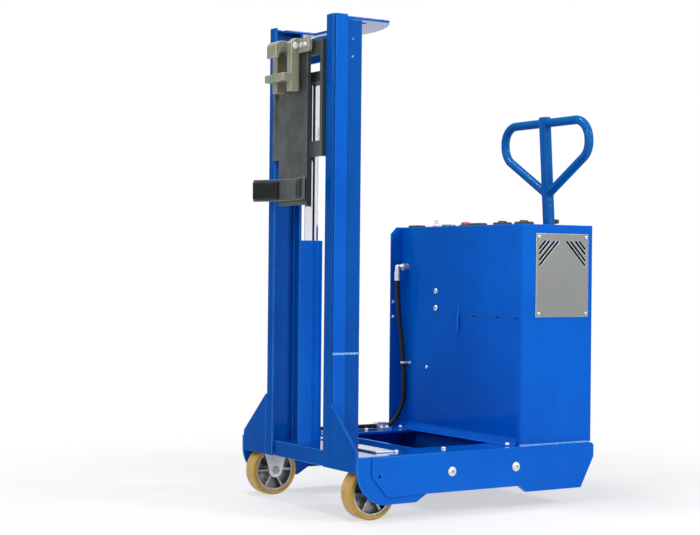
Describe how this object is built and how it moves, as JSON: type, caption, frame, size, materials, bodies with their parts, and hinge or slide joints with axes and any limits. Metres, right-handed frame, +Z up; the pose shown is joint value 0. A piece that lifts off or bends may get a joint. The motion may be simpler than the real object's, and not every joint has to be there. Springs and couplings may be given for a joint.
{
  "type": "drum depalletizer",
  "caption": "Battery drum depalletizer: upright mast with a lifting rim gripper, low chassis on rolling wheels, rear cabinet with switches and a steering tiller.",
  "frame": {"origin": "middle of the footprint, on the floor", "axes": "+X to the operator's left, +Y to the rear where the operator walks, -Y the front where drums are gripped, +Z up"},
  "size_m": [0.68, 1.0874, 1.4],
  "materials": {
    "blue_paint": "gloss powder coat",
    "zinc_steel": "bright zinc plate",
    "bare_steel": "turned",
    "dark_paint": "satin",
    "chromed_rod": "ground",
    "olive_paint": "satin",
    "cast_aluminium": "as cast",
    "amber_tread": "satin polyurethane",
    "black_rubber": "matte",
    "stainless": "brushed",
    "cast_iron": "rough",
    "black_plastic": "moulded",
    "red_plastic": "moulded",
    "teal_plastic": "moulded"
  },
  "bodies": {
    "chassis": {"side_frame_left": "blue_paint", "side_frame_right": "blue_paint", "side_skirt_left": "blue_paint", "side_skirt_right": "blue_paint", "front_beam": "blue_paint", "shoulder_plates": "blue_paint", "chassis_tray": "blue_paint", "mast_channel_left": "blue_paint", "mast_channel_right": "blue_paint", "mast_doublers": "blue_paint", "mast_top_plate": "blue_paint", "mast_cross_plate": "blue_paint", "tie_plates": "zinc_steel", "ram_barrel": "blue_paint", "castor_forks": "zinc_steel", "castor_axles": "zinc_steel", "steer_head": "blue_paint", "cabinet_shell": "blue_paint", "cabinet_top": "blue_paint", "front_panel_upper": "blue_paint", "front_panel_lower": "blue_paint", "vent_plate": "stainless", "body_fasteners": "zinc_steel", "panel_lug": "blue_paint", "counterweight": "cast_iron", "battery": "black_plastic", "power_pack": "blue_paint", "switch_bezels": "black_plastic", "charge_gauge": "teal_plastic", "key_barrel": "zinc_steel", "hose": "black_rubber", "hose_fittings": "zinc_steel"},
    "carriage": {"carriage_frame": "dark_paint", "roller_pins": "zinc_steel", "ram_rod": "chromed_rod", "drum_rest": "dark_paint", "rest_pads": "black_rubber", "gripper_frame": "olive_paint", "gripper_fasteners": "zinc_steel"},
    "upper_left_roller": {"roller_upper_left": "bare_steel"},
    "upper_right_roller": {"roller_upper_right": "bare_steel"},
    "lower_left_roller": {"roller_lower_left": "bare_steel"},
    "lower_right_roller": {"roller_lower_right": "bare_steel"},
    "beak": {"gripper_beak": "olive_paint"},
    "left_wheel": {"wheel_hub_left": "cast_aluminium", "wheel_tyre_left": "amber_tread"},
    "right_wheel": {"wheel_hub_right": "cast_aluminium", "wheel_tyre_right": "amber_tread"},
    "steering": {"steer_fork": "blue_paint", "steer_yoke": "blue_paint", "steer_pins": "zinc_steel"},
    "steer_wheel": {"steer_wheel_hub": "cast_aluminium", "steer_wheel_tyre": "amber_tread"},
    "tiller": {"tiller_stem": "blue_paint", "tiller_loop": "blue_paint", "tiller_knob": "black_plastic"},
    "main_switch": {"main_rocker": "red_plastic"},
    "lift_switch": {"lift_rocker": "black_plastic"},
    "grip_switch": {"grip_rocker": "black_plastic"},
    "ignition_key": {"key": "zinc_steel"}
  },
  "joints": [
    {"name": "carriage_lift", "type": "slide", "parent": "chassis", "child": "carriage", "axis": [0, 0, 1], "range_m": [-0.44, 0.04]},
    {"name": "upper_left_roll", "type": "hinge", "parent": "carriage", "child": "upper_left_roller", "pos_m": [0.153, -0.40075, 1.285], "axis": [1, 0, 0], "continuous": true},
    {"name": "upper_right_roll", "type": "hinge", "parent": "carriage", "child": "upper_right_roller", "pos_m": [-0.153, -0.40075, 1.285], "axis": [1, 0, 0], "continuous": true},
    {"name": "lower_left_roll", "type": "hinge", "parent": "carriage", "child": "lower_left_roller", "pos_m": [0.153, -0.40075, 1.049], "axis": [1, 0, 0], "continuous": true},
    {"name": "lower_right_roll", "type": "hinge", "parent": "carriage", "child": "lower_right_roller", "pos_m": [-0.153, -0.40075, 1.049], "axis": [1, 0, 0], "continuous": true},
    {"name": "beak_swing", "type": "hinge", "parent": "carriage", "child": "beak", "pos_m": [0, -0.49575, 1.319], "axis": [1, 0, 0], "range_deg": [-55, 0], "stiffness_Nm_per_rad": 2},
    {"name": "left_wheel_roll", "type": "hinge", "parent": "chassis", "child": "left_wheel", "pos_m": [0.274, -0.37875, 0.075], "axis": [1, 0, 0], "continuous": true},
    {"name": "right_wheel_roll", "type": "hinge", "parent": "chassis", "child": "right_wheel", "pos_m": [-0.274, -0.37875, 0.075], "axis": [1, 0, 0], "continuous": true},
    {"name": "steer_turn", "type": "hinge", "parent": "chassis", "child": "steering", "pos_m": [0, 0.48125, 0.17], "axis": [0, 0, 1], "range_deg": [-65, 65]},
    {"name": "steer_wheel_roll", "type": "hinge", "parent": "steering", "child": "steer_wheel", "pos_m": [0, 0.48125, 0.0625], "axis": [1, 0, 0], "continuous": true},
    {"name": "tiller_tilt", "type": "hinge", "parent": "steering", "child": "tiller", "pos_m": [0, 0.51125, 0.262], "axis": [1, 0, 0], "range_deg": [-75, 0]},
    {"name": "main_rocker_tip", "type": "hinge", "parent": "chassis", "child": "main_switch", "pos_m": [-0.039, 0.17625, 0.8304], "axis": [0, 1, 0], "range_deg": [-20, 20]},
    {"name": "lift_rocker_tip", "type": "hinge", "parent": "chassis", "child": "lift_switch", "pos_m": [0.147, 0.17625, 0.8304], "axis": [0, 1, 0], "range_deg": [-20, 20], "stiffness_Nm_per_rad": 0.1},
    {"name": "grip_rocker_tip", "type": "hinge", "parent": "chassis", "child": "grip_switch", "pos_m": [0.25, 0.17625, 0.8304], "axis": [0, 1, 0], "range_deg": [-20, 20], "stiffness_Nm_per_rad": 0.1},
    {"name": "key_turn", "type": "hinge", "parent": "chassis", "child": "ignition_key", "pos_m": [-0.197, 0.17625, 0.832], "axis": [0, 0, 1], "range_deg": [0, 90]}
  ],
  "couplings": [
    {"joint": "upper_left_roll", "follows": "carriage_lift", "rad_per_m": 25.189},
    {"joint": "upper_right_roll", "follows": "carriage_lift", "rad_per_m": 25.189},
    {"joint": "lower_left_roll", "follows": "carriage_lift", "rad_per_m": -25.189},
    {"joint": "lower_right_roll", "follows": "carriage_lift", "rad_per_m": -25.189}
  ]
}
